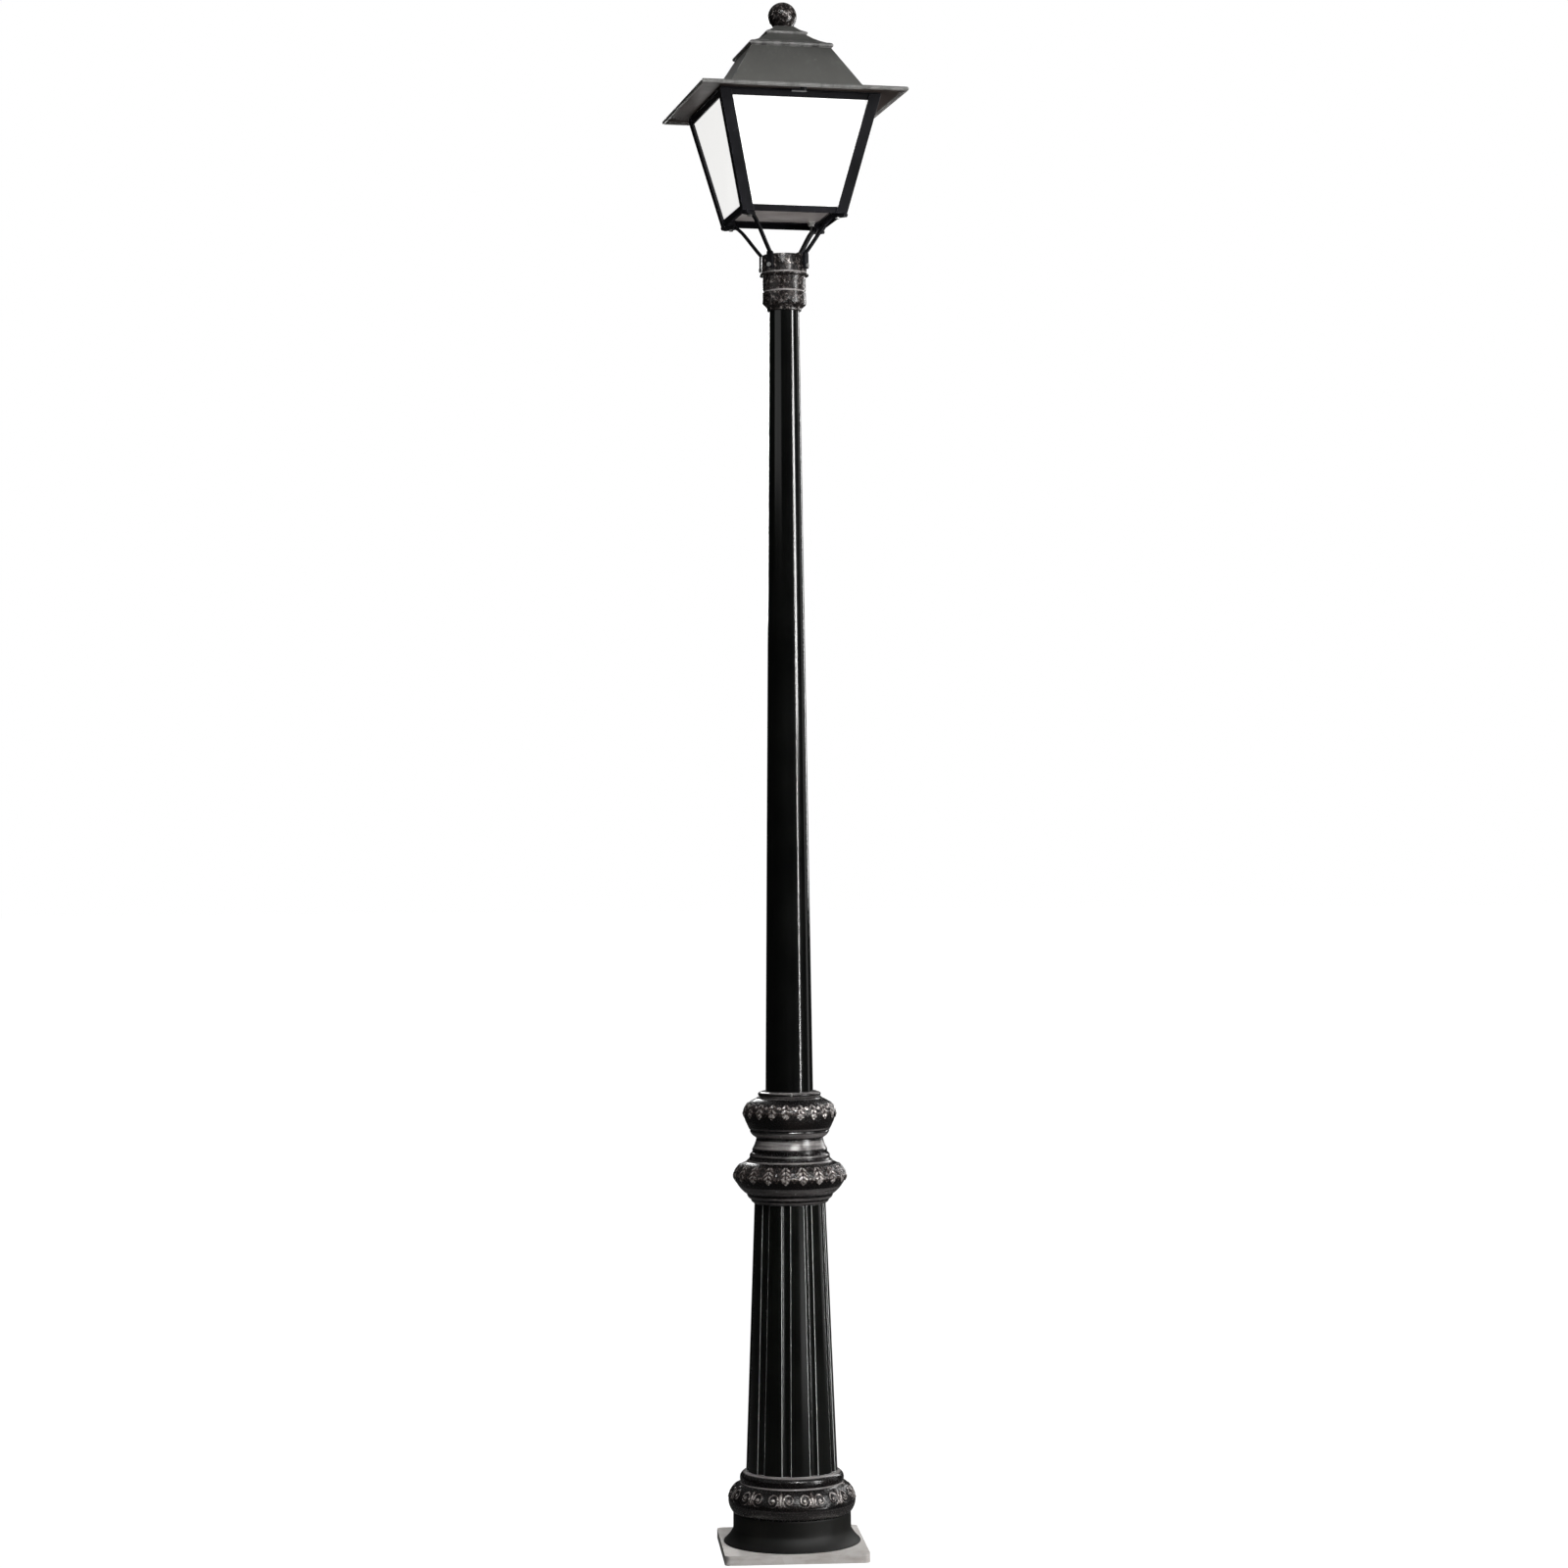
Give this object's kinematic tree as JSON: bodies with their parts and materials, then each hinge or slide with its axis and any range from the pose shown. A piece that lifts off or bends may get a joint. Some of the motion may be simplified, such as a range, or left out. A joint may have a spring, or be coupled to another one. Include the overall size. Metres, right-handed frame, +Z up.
{
  "type": "street lamp post",
  "caption": "Tapered street lamp post on a square base plate, with ornamental cast covers, a fluted column with a service door and a four-sided lantern with a hinged roof.",
  "frame": {"origin": "centre of the base plate's underside, on the pole's axis", "axes": "+Z up along the pole; X and Y along the base plate's sides; the lantern is turned 8.4 degrees anticlockwise about +Z; the service door faces +Y"},
  "size_m": [0.4996, 0.4996, 3.301],
  "materials": {
    "zinc": "hot-dip galvanised, dull",
    "pole_black": "gloss black powder coat",
    "casting_black": "satin black over cast aluminium, rubbed to brown on the relief",
    "frame_black": "gloss black",
    "roof_black": "satin black, lightly weathered",
    "opal": "opal acrylic, smooth",
    "seal_rubber": "matt black",
    "fastener_steel": "zinc plated",
    "fitting_plastic": "moulded, light grey",
    "lamp_opal": "opal lamp envelope",
    "cap_metal": "plain",
    "cable_black": "smooth cable sheath",
    "tray_metal": "pale satin grey, glossy, slightly stained",
    "reflector_white": "satin white"
  },
  "bodies": {
    "post": {"base_plate": "zinc", "base_gussets": "zinc", "pole": "pole_black", "base_foot": "casting_black", "base_ring": "casting_black", "fluted_column": "casting_black", "lower_knop": "casting_black", "flared_neck": "casting_black", "upper_knop": "casting_black", "top_collar": "casting_black", "collar_screws": "fastener_steel", "neck_adapter": "pole_black", "socket_cup": "pole_black", "cup_grommet": "seal_rubber", "neck_screws": "fastener_steel", "arm_front_left": "frame_black", "arm_front_right": "frame_black", "arm_rear_right": "frame_black", "arm_rear_left": "frame_black", "arm_screws": "fastener_steel", "lower_frame": "frame_black", "lamp_tray": "tray_metal", "top_frame": "frame_black", "corner_post_front_left": "frame_black", "corner_post_front_right": "frame_black", "corner_post_rear_right": "frame_black", "corner_post_rear_left": "frame_black", "pane_front": "opal", "pane_right": "opal", "pane_rear": "opal", "pane_left": "opal", "pane_seals": "seal_rubber", "glazing_clips": "fastener_steel", "lamp_bracket": "fastener_steel", "lamp_holder": "fitting_plastic", "lamp_cap": "cap_metal", "lamp_bulb": "lamp_opal", "cable_gland": "fitting_plastic", "lamp_cable": "cable_black", "fuse_unit": "fitting_plastic", "fuse_rail": "zinc", "earth_stud": "fastener_steel", "roof_gasket": "seal_rubber", "hinge_body_leaves": "frame_black", "hinge_pins": "fastener_steel", "door_gasket": "seal_rubber", "door_frame_leaves": "casting_black", "door_pins": "fastener_steel"},
    "lantern_roof": {"roof_brim": "roof_black", "roof_main": "roof_black", "roof_crown": "roof_black", "reflector": "reflector_white", "roof_screws": "roof_black", "finial": "casting_black", "finial_nut": "fastener_steel", "hinge_roof_leaves": "roof_black"},
    "turn_button": {"roof_latch": "frame_black"},
    "column_door": {"service_door": "casting_black", "door_leaves": "casting_black"},
    "lock_barrel": {"door_lock": "fastener_steel"}
  },
  "joints": [
    {"name": "roof_hinge", "type": "hinge", "parent": "post", "child": "lantern_roof", "pos_m": [-0.026, 0.17609, 3.073], "axis": [-0.9893, -0.1461, 0], "range_deg": [0, 95]},
    {"name": "roof_latch_turn", "type": "hinge", "parent": "lantern_roof", "child": "turn_button", "pos_m": [0.02849, -0.19291, 3.083], "axis": [0, 0, -1], "range_deg": [0, 90]},
    {"name": "door_hinge", "type": "hinge", "parent": "post", "child": "column_door", "pos_m": [0.03686, 0.08726, 0.35516], "axis": [0.0147, 0.0349, -0.9993], "range_deg": [0, 110]},
    {"name": "door_lock_turn", "type": "hinge", "parent": "column_door", "child": "lock_barrel", "pos_m": [-0.01119, 0.08983, 0.355], "axis": [-0.1236, 0.9923, 0], "range_deg": [0, 90]}
  ]
}
